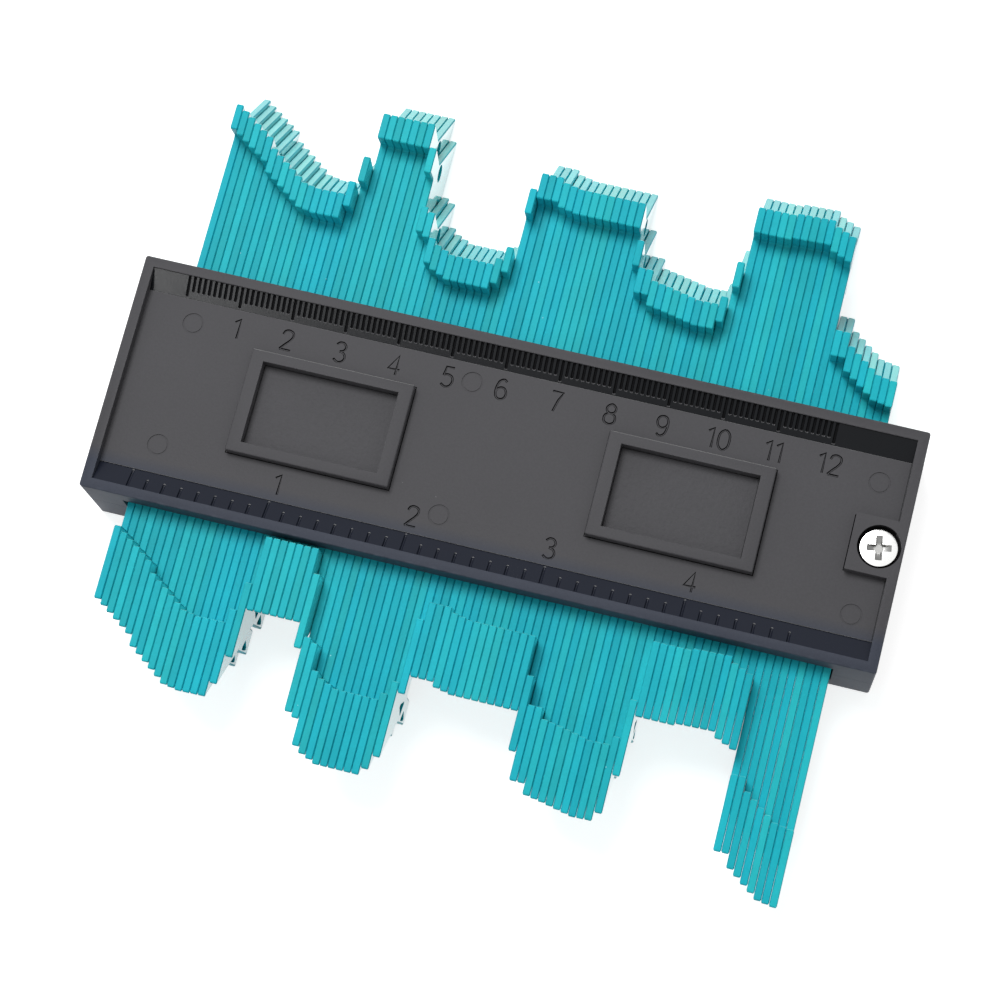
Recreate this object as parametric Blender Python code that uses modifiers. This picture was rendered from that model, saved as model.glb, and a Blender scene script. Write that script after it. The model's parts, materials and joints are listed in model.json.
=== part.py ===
"""Contour gauge: a two-part housing with a stack of thin leaves that slide across it.

The gauge lies on its back. X runs along the housing, Y along the leaves, and +Z points out of the front.
The origin is the centre of the back cover's flat plate, which its rim surrounds. All sizes are in metres.
"""

import math

import bmesh
import bpy
from mathutils import Matrix, Vector

# Leaves
LEAF_COUNT = 91
LEAF_PITCH = 0.0014205
LEAVES_PER_PIECE = 2
LEAF_GAP = 0.00008
LEAF_JOIN = 0.00004
WEB_DEPTH = 0.0100
NOSE_LENGTH = 0.0050
NOSE_UNDERCUT = 0.0004
NOSE_TOP_DROP = 0.0005
NOSE_TOP_DEPTH = 0.0072
TIP_RISE = 0.0090
LEAF_TRAVEL = 0.0326
HEAD_LENGTH = 0.0136
TOE_DEPTH = 0.0008
SOLE_RISE = 0.0080
SOLE_DEPTH = 0.0110
HEEL_RISE = 0.0010
HOLE_RADIUS = 0.00165
HOLE_DROP = 0.0014
HOLE_SIDES = 8

# Corners of the two windows behind the head: height above the foot of the leaf, depth from its front
WINDOW_FRONT = ((0.0094, 0.0116), (0.0108, 0.0082), (0.0124, 0.0132))
WINDOW_BACK = ((0.0088, 0.0134), (0.0109, 0.0152), (0.0096, 0.0182))

# Housing
HOUSING_HEIGHT = 0.0444
HOUSING_THICKNESS = 0.0200
END_BLOCK = 0.0073
STACK_CLEARANCE = 0.0005
STACK_OFFSET = 0.00030
LEAF_SINK = 0.00015
COVER_CLEARANCE = 0.00035
SEAM_GAP = 0.0001
CORNER_RADIUS = 0.0005
RIM_EDGE_RADIUS = 0.00025
RIM_WIDTH = 0.0019
RIM_LIP = 0.0004
PLATE_DEPTH = 0.0020
BAND_WIDTH = 0.0038
BAND_STEP = 0.0002

# Raised frames on the plate
FRAME_CENTRES = (-0.0337, 0.0326)
FRAME_LENGTH = 0.0303
FRAME_HEIGHT = 0.0194
FRAME_BAR_X = 0.0025
FRAME_BAR_Y = 0.0020
FRAME_RAISE = 0.0007
FRAME_FLOOR = 0.0004
FRAME_BEVEL = 0.0002

# Screws, their bosses and the locating pegs between the covers
SCREW_INSET = 0.0044
SCREW_SHANK_RADIUS = 0.0013
SCREW_HEAD_RADIUS = 0.0034
SCREW_HEAD_HEIGHT = 0.0019
SCREW_DOME = 0.00085
DOME_TURNS = 5
SCREW_STEPS = 24
SCREW_LENGTH = 0.0140
SCREW_POINT = 0.0012
HEAD_CLEARANCE = 0.0003
SHANK_CLEARANCE = 0.0002
THREAD_CLEARANCE = 0.00005
COUNTERBORE_DEPTH = 0.0021
COUNTERBORE_SIDES = 32
SCREW_HOLE_SIDES = 16
PILOT_SPARE = 0.0006
BOSS_WIDTH = 0.0104
BOSS_REACH = 0.0076
BOSS_ROOT = 0.0005
PEG_OFFSET = 0.0140
PEG_RADIUS = 0.0012
PEG_LENGTH = 0.0025
PEG_CLEARANCE = 0.0001
PEG_SIDES = 12

# Friction strips inside the covers
STRIP_WIDTH = 0.0060
STRIP_THICKNESS = 0.0013
STRIP_PROUD = 0.0002
STRIP_CLEARANCE = 0.0001

CUT_MARGIN = 0.0020

# The shape that the leaves were last pushed to: leaf number, height of its nose above its lowest place
CONTOUR = (
    (1, 0.0272), (6, 0.0224), (7, 0.0203), (12, 0.0152), (14, 0.0147), (17, 0.0148), (18, 0.0174),
    (19, 0.0226), (20, 0.0315), (26, 0.0315), (27, 0.0270), (28, 0.0157), (29, 0.0149), (30, 0.0102),
    (31, 0.0091), (33, 0.0079), (38, 0.0079), (39, 0.0092), (40, 0.0117), (41, 0.0235), (42, 0.0268),
    (44, 0.0268), (45, 0.0259), (47, 0.0253), (55, 0.0253), (56, 0.0183), (57, 0.0133), (58, 0.0133),
    (59, 0.0114), (61, 0.0109), (65, 0.0097), (67, 0.0098), (68, 0.0114), (69, 0.0184), (70, 0.0293),
    (74, 0.0293), (75, 0.0297), (79, 0.0299), (80, 0.0288), (82, 0.0276), (83, 0.0099), (84, 0.0099),
    (85, 0.0075), (87, 0.0054), (88, 0.0044), (89, 0.0034), (91, 0.0029),
)

# Worked out from the sizes above
STACK_LENGTH = LEAF_COUNT * LEAF_PITCH
CHANNEL_LENGTH = STACK_LENGTH + 2 * (STACK_CLEARANCE + abs(STACK_OFFSET) / 2)
HOUSING_LENGTH = CHANNEL_LENGTH + 2 * END_BLOCK
LEAF_DEPTH = HOUSING_THICKNESS - 2 * LEAF_SINK
RECESS = (LEAF_DEPTH - WEB_DEPTH) / 2
LEAF_LENGTH = NOSE_LENGTH + HOUSING_HEIGHT + LEAF_TRAVEL + HEAD_LENGTH
LOWEST_NOSE = HOUSING_HEIGHT / 2 + NOSE_LENGTH
COVER_INSIDE = WEB_DEPTH / 2 + COVER_CLEARANCE
PLATE_LEVEL = HOUSING_THICKNESS / 2 - PLATE_DEPTH
RIM_LEVEL = HOUSING_THICKNESS / 2
MIDDLE = PLATE_LEVEL
SCREW_X = HOUSING_LENGTH / 2 - SCREW_INSET
SEAT_LEVEL = RIM_LEVEL - COUNTERBORE_DEPTH


def clear_scene():
    for old in list(bpy.data.objects):
        bpy.data.objects.remove(old, do_unlink=True)


def collection(name):
    made = bpy.data.collections.new(name)
    bpy.context.scene.collection.children.link(made)
    return made


def material(name, colour, roughness, metallic=0.0):
    made = bpy.data.materials.new(name)
    made.use_nodes = True
    shader = made.node_tree.nodes["Principled BSDF"]
    shader.inputs["Base Color"].default_value = (*colour, 1.0)
    shader.inputs["Roughness"].default_value = roughness
    shader.inputs["Metallic"].default_value = metallic
    return made


def linked(name, mesh, group):
    made = bpy.data.objects.new(name, mesh)
    group.objects.link(made)
    return made


def box(name, group, low, high):
    """A box between two corners, its scale in the mesh."""
    low, high = Vector(low), Vector(high)
    work = bmesh.new()
    bmesh.ops.create_cube(work, size=1.0)
    bmesh.ops.scale(work, vec=high - low, verts=work.verts)
    bmesh.ops.translate(work, vec=(low + high) / 2, verts=work.verts)
    mesh = bpy.data.meshes.new(name)
    work.to_mesh(mesh)
    work.free()
    return linked(name, mesh, group)


def rod(name, group, centre, radius, low, high, sides):
    """A cylinder along Z between two levels."""
    work = bmesh.new()
    bmesh.ops.create_cone(
        work, cap_ends=True, segments=sides, radius1=radius, radius2=radius, depth=high - low
    )
    bmesh.ops.translate(work, vec=(centre[0], centre[1], (low + high) / 2), verts=work.verts)
    mesh = bpy.data.meshes.new(name)
    work.to_mesh(mesh)
    work.free()
    return linked(name, mesh, group)


def extruded(name, group, outlines, thickness, axes):
    """A flat outline with its holes, extruded about its own plane and made a closed mesh.

    axes is the world direction of the outline's first axis, of its second and of its thickness.
    """
    curve = bpy.data.curves.new(name, "CURVE")
    curve.dimensions = "2D"
    curve.fill_mode = "BOTH"
    curve.extrude = thickness / 2
    curve.render_resolution_u = 0
    for outline in outlines:
        spline = curve.splines.new("POLY")
        spline.points.add(len(outline) - 1)
        for point, place in zip(spline.points, outline):
            point.co = (place[0], place[1], 0.0, 1.0)
        spline.use_cyclic_u = True
    shape = linked(name + "_outline", curve, group)
    shape.matrix_world = Matrix(axes).transposed().to_4x4()
    bpy.context.view_layer.update()
    evaluated = shape.evaluated_get(bpy.context.evaluated_depsgraph_get())
    mesh = bpy.data.meshes.new_from_object(evaluated)
    mesh.name = name
    work = bmesh.new()
    work.from_mesh(mesh)
    bmesh.ops.remove_doubles(work, verts=work.verts, dist=1e-6)
    work.to_mesh(mesh)
    work.free()
    mesh.transform(shape.matrix_world)
    bpy.data.objects.remove(shape, do_unlink=True)
    bpy.data.curves.remove(curve)
    return linked(name, mesh, group)


def boolean(body, tool, operation):
    """Cuts or joins with a tool that stays hidden and follows the body."""
    tool.parent = body
    tool.hide_render = True
    tool.display_type = "WIRE"
    step = body.modifiers.new(tool.name, "BOOLEAN")
    step.operation = operation
    step.solver = "EXACT"
    step.object = tool


def smooth(body, angle=40.0):
    body.data.shade_smooth()
    body.data.set_sharp_from_angle(angle=math.radians(angle))


def contour_height(number):
    """Height of a leaf's nose above its lowest place, never past the end of its travel."""
    first = CONTOUR[0]
    if number <= first[0]:
        return min(first[1], LEAF_TRAVEL)
    for (left, low), (right, high) in zip(CONTOUR, CONTOUR[1:]):
        if number <= right:
            share = (number - left) / (right - left)
            return min(low + share * (high - low), LEAF_TRAVEL)
    return min(CONTOUR[-1][1], LEAF_TRAVEL)


def leaf_outlines():
    """The leaf's side view, with its holes: distance from the nose's top, and depth measured upwards."""
    front = LEAF_DEPTH
    web_front = LEAF_DEPTH - RECESS
    web_back = RECESS
    head_top = -LEAF_LENGTH + HEAD_LENGTH
    under_nose = -NOSE_LENGTH + NOSE_UNDERCUT
    heel = -LEAF_LENGTH + SOLE_RISE + HEEL_RISE
    outline = [
        (0.0, front),
        (-NOSE_TOP_DROP, front - NOSE_TOP_DEPTH),
        (TIP_RISE, 0.0),
        (-NOSE_LENGTH, 0.0),
        (under_nose, web_back),
        (head_top, web_back),
        (head_top, 0.0),
        (heel, 0.0),
        (-LEAF_LENGTH + SOLE_RISE, front - SOLE_DEPTH),
        (-LEAF_LENGTH, front - TOE_DEPTH),
        (-LEAF_LENGTH, front),
        (head_top, front),
        (head_top, web_front),
        (under_nose, web_front),
        (-NOSE_LENGTH, front),
    ]
    hole = [
        (
            HOLE_RADIUS * math.cos(2 * math.pi * turn / HOLE_SIDES) - HOLE_DROP,
            HOLE_RADIUS * math.sin(2 * math.pi * turn / HOLE_SIDES) + LEAF_DEPTH / 2,
        )
        for turn in range(HOLE_SIDES)
    ]
    windows = [
        [(up - LEAF_LENGTH, front - depth) for up, depth in corners]
        for corners in (WINDOW_FRONT, WINDOW_BACK)
    ]
    return [outline, hole, *windows]


def leaf(name, group, thickness, middle, height):
    """One leaf about its own origin: middle is its place across the stack, height its rise along Y."""
    made = extruded(name, group, leaf_outlines(), thickness, ((0, 1, 0), (0, 0, 1), (1, 0, 0)))
    made.data.transform(Matrix.Translation((middle, height, -LEAF_DEPTH / 2)))
    return made


def leaf_piece(first, group, cutters, finish):
    """Neighbouring leaves that are kept as one piece, each at the height it was pushed to."""
    last = min(first + LEAVES_PER_PIECE - 1, LEAF_COUNT)
    count = last - first + 1
    name = f"leaf_{first:02d}" if count == 1 else f"leaves_{first:02d}_{last:02d}"
    width = count * LEAF_PITCH - LEAF_GAP
    thickness = (width + (count - 1) * LEAF_JOIN) / count
    base = contour_height(first)
    body = leaf(name, group, thickness, (thickness - width) / 2, 0.0)
    for extra in range(1, count):
        middle = (thickness - width) / 2 + extra * (thickness - LEAF_JOIN)
        rise = contour_height(first + extra) - base
        partner = leaf(f"{name}_partner", cutters, thickness, middle, rise)
        boolean(body, partner, "UNION")
    stack_start = STACK_OFFSET - STACK_LENGTH / 2
    centre = stack_start + (first - 1 + count / 2) * LEAF_PITCH
    body.location = (centre, LOWEST_NOSE + base, MIDDLE)
    body.data.materials.append(finish)
    return body


def cover(name, group, cutters, finish):
    """One half of the housing about the housing's centre, its front up."""
    half_x, half_y = HOUSING_LENGTH / 2, HOUSING_HEIGHT / 2
    seam = SEAM_GAP / 2
    body = box(name, group, (-half_x, -half_y, seam), (half_x, half_y, RIM_LEVEL))
    corners = body.modifiers.new("rounded_edges", "BEVEL")
    corners.width = CORNER_RADIUS
    corners.segments = 2
    corners.limit_method = "WEIGHT"
    weights = body.data.attributes.new("bevel_weight_edge", "FLOAT", "EDGE")
    for edge in body.data.edges:
        ends = [body.data.vertices[v].co for v in edge.vertices]
        upright = abs(ends[0].z - ends[1].z) > seam
        top = min(ends[0].z, ends[1].z) > seam + SEAM_GAP
        weights.data[edge.index].value = 1.0 if upright else (RIM_EDGE_RADIUS / CORNER_RADIUS if top else 0.0)

    inner_x, inner_y = half_x - RIM_WIDTH, half_y - RIM_WIDTH
    plate_y = inner_y - BAND_WIDTH
    lip, foot, above = RIM_LEVEL - RIM_LIP, PLATE_LEVEL - BAND_STEP, RIM_LEVEL + CUT_MARGIN
    section = [
        (-inner_y, above), (-inner_y, lip), (-plate_y, foot), (-plate_y, PLATE_LEVEL),
        (plate_y, PLATE_LEVEL), (plate_y, foot), (inner_y, lip), (inner_y, above),
    ]
    recess = extruded(
        f"{name}_recess", cutters, [section], 2 * inner_x, ((0, 1, 0), (0, 0, 1), (1, 0, 0))
    )
    boolean(body, recess, "DIFFERENCE")

    for index, centre in enumerate(FRAME_CENTRES):
        raised_frame(f"{name}_frame_{index + 1}", body, cutters, centre)

    boss = box(
        f"{name}_boss", cutters,
        (inner_x - BOSS_REACH, -BOSS_WIDTH / 2, PLATE_LEVEL - BOSS_ROOT),
        (half_x - RIM_WIDTH / 2, BOSS_WIDTH / 2, RIM_LEVEL),
    )
    boolean(body, boss, "UNION")

    channel = box(
        f"{name}_channel", cutters,
        (-CHANNEL_LENGTH / 2, -half_y - CUT_MARGIN, -CUT_MARGIN),
        (CHANNEL_LENGTH / 2, half_y + CUT_MARGIN, COVER_INSIDE),
    )
    boolean(body, channel, "DIFFERENCE")
    slot = box(
        f"{name}_strip_slot", cutters,
        (-CHANNEL_LENGTH / 2, -STRIP_WIDTH / 2, COVER_INSIDE - CUT_MARGIN),
        (CHANNEL_LENGTH / 2, STRIP_WIDTH / 2, COVER_INSIDE - STRIP_PROUD + STRIP_THICKNESS),
    )
    boolean(body, slot, "DIFFERENCE")

    counterbore = rod(
        f"{name}_counterbore", cutters, (SCREW_X, 0.0),
        SCREW_HEAD_RADIUS + HEAD_CLEARANCE, SEAT_LEVEL, above, COUNTERBORE_SIDES,
    )
    boolean(body, counterbore, "DIFFERENCE")
    clearance_hole = rod(
        f"{name}_screw_hole", cutters, (SCREW_X, 0.0),
        SCREW_SHANK_RADIUS + SHANK_CLEARANCE, -CUT_MARGIN, above, SCREW_HOLE_SIDES,
    )
    boolean(body, clearance_hole, "DIFFERENCE")
    pilot_end = SCREW_LENGTH - SEAT_LEVEL + PILOT_SPARE
    pilot = rod(
        f"{name}_pilot_hole", cutters, (-SCREW_X, 0.0),
        SCREW_SHANK_RADIUS + THREAD_CLEARANCE, -CUT_MARGIN, pilot_end, SCREW_HOLE_SIDES,
    )
    boolean(body, pilot, "DIFFERENCE")
    for side in (-1, 1):
        peg = rod(
            f"{name}_peg_{side}", cutters, (SCREW_X, side * PEG_OFFSET),
            PEG_RADIUS, -PEG_LENGTH, CUT_MARGIN, PEG_SIDES,
        )
        boolean(body, peg, "UNION")
        socket = rod(
            f"{name}_socket_{side}", cutters, (-SCREW_X, side * PEG_OFFSET),
            PEG_RADIUS + PEG_CLEARANCE, -CUT_MARGIN, PEG_LENGTH + PEG_CLEARANCE, PEG_SIDES,
        )
        boolean(body, socket, "DIFFERENCE")
    body.data.materials.append(finish)
    body.location.z = MIDDLE
    return body


def raised_frame(name, body, cutters, centre):
    """A rectangular frame that stands on the plate, with a sunk floor inside it."""
    half_x, half_y = FRAME_LENGTH / 2, FRAME_HEIGHT / 2
    pad = box(
        name, cutters,
        (centre - half_x, -half_y, PLATE_LEVEL - FRAME_FLOOR),
        (centre + half_x, half_y, PLATE_LEVEL + FRAME_RAISE),
    )
    edge = pad.modifiers.new("soft_edge", "BEVEL")
    edge.width = FRAME_BEVEL
    edge.segments = 1
    boolean(body, pad, "UNION")
    floor = box(
        name + "_floor", cutters,
        (centre - half_x + FRAME_BAR_X, -half_y + FRAME_BAR_Y, PLATE_LEVEL - FRAME_FLOOR),
        (centre + half_x - FRAME_BAR_X, half_y - FRAME_BAR_Y, RIM_LEVEL + CUT_MARGIN),
    )
    boolean(body, floor, "DIFFERENCE")


def screw(name, group, finish):
    """A pan-head screw as a turned profile, its origin on its axis under the head."""
    seat = SEAT_LEVEL
    rim = seat + SCREW_HEAD_HEIGHT - SCREW_DOME
    turns = [math.radians(90) * turn / DOME_TURNS for turn in range(DOME_TURNS + 1)]
    arc = [(SCREW_HEAD_RADIUS * math.sin(turn), rim + SCREW_DOME * math.cos(turn)) for turn in turns]
    profile = [*arc, (SCREW_HEAD_RADIUS, seat), (SCREW_SHANK_RADIUS, seat)]
    profile += [(SCREW_SHANK_RADIUS, seat - SCREW_LENGTH + SCREW_POINT), (0.0, seat - SCREW_LENGTH)]
    mesh = bpy.data.meshes.new(name)
    mesh.from_pydata(
        [(across, 0.0, level) for across, level in profile],
        [(index, index + 1) for index in range(len(profile) - 1)],
        [],
    )
    body = linked(name, mesh, group)
    turn = body.modifiers.new("turned", "SCREW")
    turn.axis = "Z"
    turn.steps = SCREW_STEPS
    turn.render_steps = SCREW_STEPS
    turn.use_merge_vertices = True
    turn.merge_threshold = 0.00001
    body.data.materials.append(finish)
    mesh.transform(Matrix.Translation((0.0, 0.0, -seat)))
    body.location = (SCREW_X, 0.0, MIDDLE + seat)
    return body


def friction_strip(name, group, finish):
    """A soft strip in its slot, standing a little proud of the cover's inside."""
    half = CHANNEL_LENGTH / 2 - STRIP_CLEARANCE
    low = COVER_INSIDE - STRIP_PROUD
    body = box(
        name, group,
        (-half, -STRIP_WIDTH / 2 + STRIP_CLEARANCE, low),
        (half, STRIP_WIDTH / 2 - STRIP_CLEARANCE, low + STRIP_THICKNESS - STRIP_CLEARANCE),
    )
    body.data.materials.append(finish)
    body.location.z = MIDDLE
    return body


def turn_to_back(body):
    """Turns a piece of the front half round the gauge's long middle to the back half."""
    offset = body.location - Vector((0.0, 0.0, MIDDLE))
    body.rotation_euler.y = math.pi
    body.location = (-offset.x, offset.y, MIDDLE - offset.z)


def main():
    clear_scene()
    parts = collection("contour_gauge")
    cutters = collection("cutters")
    housing_plastic = material("housing_plastic", (0.105, 0.105, 0.112), 0.45)
    leaf_plastic = material("leaf_plastic", (0.03, 0.55, 0.62), 0.30)
    nickel = material("nickel", (0.78, 0.77, 0.74), 0.25, 1.0)
    foam = material("foam", (0.04, 0.04, 0.04), 0.9)

    cover("front_cover", parts, cutters, housing_plastic)
    turn_to_back(cover("back_cover", parts, cutters, housing_plastic))
    smooth(screw("front_screw", parts, nickel))
    rear_screw = screw("back_screw", parts, nickel)
    smooth(rear_screw)
    turn_to_back(rear_screw)
    friction_strip("front_friction_strip", parts, foam)
    turn_to_back(friction_strip("back_friction_strip", parts, foam))
    for first in range(1, LEAF_COUNT + 1, LEAVES_PER_PIECE):
        leaf_piece(first, parts, cutters, leaf_plastic)


main()
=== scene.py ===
"""Looks of the contour gauge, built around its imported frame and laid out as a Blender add-on.

The gauge lies on its back. X runs along the housing, Y along the leaves, and +Z points out of the front.
All sizes are in metres.
"""

import json
import math

import bmesh
import bpy
from bpy.props import FloatProperty, FloatVectorProperty, IntProperty, PointerProperty
from mathutils import Matrix, Vector
from mathutils.geometry import tessellate_polygon

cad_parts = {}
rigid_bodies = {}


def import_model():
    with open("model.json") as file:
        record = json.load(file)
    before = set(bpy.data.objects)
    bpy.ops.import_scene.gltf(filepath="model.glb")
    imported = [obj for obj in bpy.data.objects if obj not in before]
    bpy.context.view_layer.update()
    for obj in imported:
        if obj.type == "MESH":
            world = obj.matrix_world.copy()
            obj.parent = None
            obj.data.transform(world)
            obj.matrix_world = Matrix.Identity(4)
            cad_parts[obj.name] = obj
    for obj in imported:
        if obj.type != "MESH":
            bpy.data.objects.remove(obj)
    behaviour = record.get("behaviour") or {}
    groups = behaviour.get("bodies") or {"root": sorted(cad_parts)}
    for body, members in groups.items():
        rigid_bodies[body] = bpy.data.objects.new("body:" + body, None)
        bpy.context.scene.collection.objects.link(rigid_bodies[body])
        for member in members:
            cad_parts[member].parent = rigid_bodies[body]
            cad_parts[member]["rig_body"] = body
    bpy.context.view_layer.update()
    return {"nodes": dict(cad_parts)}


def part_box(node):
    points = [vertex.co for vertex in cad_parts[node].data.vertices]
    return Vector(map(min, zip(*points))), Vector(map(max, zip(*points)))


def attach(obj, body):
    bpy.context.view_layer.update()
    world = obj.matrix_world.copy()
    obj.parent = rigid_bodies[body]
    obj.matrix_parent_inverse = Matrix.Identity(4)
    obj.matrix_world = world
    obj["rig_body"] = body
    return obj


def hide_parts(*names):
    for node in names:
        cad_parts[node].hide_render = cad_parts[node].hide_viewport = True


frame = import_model()

bl_info = {
    "name": "Contour gauge",
    "version": (1, 0, 0),
    "blender": (4, 5, 0),
    "location": "3D View > Sidebar > Contour gauge",
    "description": "Builds the finished look of a contour gauge around its solids",
    "category": "Object",
}

# Levels of the housing above the back cover's plate
MIDDLE = 0.008
RIM_LEVEL = 0.018
PLATE_LEVEL = 0.016
FLOOR_LEVEL = -0.002

# Overlap of a cutter past what it cuts, a small clearance, and the least gap between two faces
MARGIN = 0.0020
GAP = 0.0001
HAIR = 0.00001
ABOVE = RIM_LEVEL + MARGIN
BELOW = MIDDLE - MARGIN

# Housing in plan
HALF_LENGTH = 0.0725828
HALF_HEIGHT = 0.0222
RIM_WIDTH = 0.0019
RIM_LIP = 0.0004
RIM_CHAMFER = 0.0001
BAND_WIDTH = 0.0038
BAND_STEP = 0.0002
PLATE_CHAMFER = 0.00008
INNER_X = HALF_LENGTH - RIM_WIDTH
INNER_Y = HALF_HEIGHT - RIM_WIDTH
PLATE_Y = INNER_Y - BAND_WIDTH
BAND_TOP = RIM_LEVEL - RIM_LIP
BAND_FOOT = PLATE_LEVEL - BAND_STEP
CHANNEL_HALF = 0.0652828
COVER_INSIDE = 0.00535
SEAM = 0.00005
STRIP_WIDTH = 0.0060
STRIP_SLOT_TOP = 0.00645
STRIP_EDGE = 0.0002

# Raised frames, the boss round the screw, and the fine grooves at their feet
FRAME_CENTRES = (-0.0337, 0.0326)
FRAME_HALF_X, FRAME_HALF_Y = 0.01515, 0.0097
FRAME_INNER_X, FRAME_INNER_Y = FRAME_HALF_X - 0.0025, FRAME_HALF_Y - 0.0020
FRAME_RAISE = 0.00195
FRAME_FLOOR = 0.0004
FRAME_EDGE = 0.0003
BOSS_REACH = 0.0076
BOSS_HALF = 0.0052
CORNER_GROOVE = 0.00018
CORNER_DEPTH = 0.00022

# Screws, their holes and cross recess, and the pegs that join the covers
SCREW_X = 0.0681828
SEAT_LEVEL = 0.0079
SCREW_HEAD_RADIUS = 0.0033
SCREW_HEAD_HEIGHT = 0.0012
SCREW_DOME = 0.0003
SHANK_RADIUS = 0.0013
SCREW_LENGTH = 0.0140
THREAD_START = 0.0012
THREAD_TURNS = 16
THREAD_PITCH = 0.0006
THREAD_DEPTH = 0.00018
COUNTERBORE_RADIUS = 0.0039
HOLE_GAP = 0.0002
PILOT_GAP = 0.00005
PILOT_RUNOUT = 0.0006
RECESS_HALF = 0.00058
RECESS_DEPTH = 0.0009
RECESS_MIDDLE = 0.0008
RECESS_RISE = 0.0004
RECESS_TURN = 9.5
PEG_OFFSET = 0.0140
PEG_RADIUS = 0.0012
PEG_LENGTH = 0.0025

# Ejector marks: a shallow disc with a ring round its edge
EJECTOR_MARKS = (
    (-0.06115, 0.0121), (-0.0612, -0.0113), (-0.0089, 0.0130),
    (-0.0086, -0.0121), (0.0658, 0.0117), (0.0661, -0.0126),
)
EJECTOR_RADIUS = 0.00195
EJECTOR_RING = 0.00034
EJECTOR_DEPTH = 0.00004
EJECTOR_RING_DEPTH = 0.00015

# Leaf outline: height from the nose's top, depth from the front, and the corner's radius
LEAF_DEPTH = 0.0197
LEAF_LENGTH = 0.0956
TIP_RISE = 0.0090
UNDER_NOSE = -0.0046
HEAD_TOP = -0.0820
HEAD_TOP_RISE = 0.00024
FOOT_THINNING = 0.015
FOOT_BLEND = 0.004
WEB_FRONT = 0.00485
WEB_BACK = 0.01485
LEAF_OUTLINE = (
    (0.0, 0.0, 0.0004), (-0.0005, 0.0072, 0.0010), (TIP_RISE, LEAF_DEPTH, 0.0003),
    (-0.0050, LEAF_DEPTH, 0.0003), (UNDER_NOSE, WEB_BACK, 0.0005), (HEAD_TOP, WEB_BACK, 0.0004),
    (HEAD_TOP, LEAF_DEPTH, 0.0003), (-0.0866, LEAF_DEPTH, 0.0004), (-0.0876, 0.0110, 0.0008),
    (-LEAF_LENGTH, 0.0008, 0.0003), (-LEAF_LENGTH, 0.0, 0.0003), (HEAD_TOP, 0.0, 0.0003),
    (HEAD_TOP + HEAD_TOP_RISE, WEB_FRONT, 0.0004), (UNDER_NOSE, WEB_FRONT, 0.0005), (-0.0050, 0.0, 0.0003),
)
LEAF_WINDOWS = (
    ((-0.0862, 0.0116, 0.0003), (-0.0848, 0.0082, 0.0003), (-0.0832, 0.0132, 0.0003)),
    ((-0.0868, 0.0134, 0.0003), (-0.0847, 0.0152, 0.0003), (-0.0860, 0.0182, 0.0003)),
)
LEAF_HOLE = (-0.0014, 0.00985, 0.00165)
HOLE_SIDES = 24
SOLID_GAP = 0.00008
SLACK_SEED, TONE_SEED = 3, 7

# Graduations: (first mark, spacing, number of marks, marks between long ones)
CENTIMETRES = (-0.0637, 0.001, 121, 10)
INCHES = (-0.0642, 0.003175, 39, 8)
# Their ends: (outer end, short mark's nose, long mark's nose)
TOP_MARK = (0.02045, 0.0176, 0.0167)
BOTTOM_MARK = (0.02080, 0.0180, 0.0166)
# Their round floor: (share of the depth, share of the width)
MARK_FLOOR = ((0.40, 0.98), (0.80, 0.72), (1.0, 0.34))
MARK_OVERRUN = 0.0006

# Numbers
TOP_NUMBERS = (
    -0.0531, -0.0436, -0.0336, -0.0234, -0.0135, -0.0035,
    0.0066, 0.0166, 0.0261, 0.0364, 0.0464, 0.0565,
)
BOTTOM_NUMBERS = (-0.0382, -0.0132, 0.0120, 0.0375)
TOP_NUMBER_Y = 0.0130
BOTTOM_NUMBER_Y = -0.0134
DIGIT_SPACE = 0.16
DIGIT_SINK = 0.20
STROKE_SIDES = 10

# The cover's finishes, among them a pale one for painted highlights and a near-black one for marks and
# painted shade, and the levels under the plate by which its faces are told apart
PLASTIC, BAND, FLOOR, MARK_AND_SHADE, PAINTED_HIGHLIGHT = range(5)
PLAIN_LEVEL = MIDDLE + 0.0060
RING_WALL = (0.00006, 0.0002)
DEEPEST = 0.0006

# Colours of the marks and of the shade painted in hollows, of the highlights painted on chamfers, frame edges
# and mark noses, of worn edges and dust, and where the bluish light and shade painted on the lower side
# begins and ends
MARK_AND_SHADE_COLOUR = (0.008, 0.008, 0.009)
PAINTED_HIGHLIGHT_COLOUR = (0.17, 0.17, 0.175)
WORN_COLOUR = (0.12, 0.12, 0.125, 1.0)
DUST_COLOUR = (0.16, 0.16, 0.17, 1.0)
PAINTED_LOWER_LIGHT_SPAN = (-0.0140, -0.0170)

# The turn between two faces, in degrees, past which their edge is sharp
SOFT_TURN = 35.0

# Camera, with its focal length from pixels of a picture 1000 wide, and the brightness of paper and room
SENSOR_WIDTH = 36.0
FOCAL_LENGTH = 2795.465 / 1000.0 * SENSOR_WIDTH
CAMERA_PLACE = (0.05864, -0.11264, 0.49780)
CAMERA_TURN = (2.889808, 0.351386, -0.13138)
WHITE = (1.0, 1.0, 1.0, 1.0)
PAPER = 0.75
ROOM = 0.40

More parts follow.
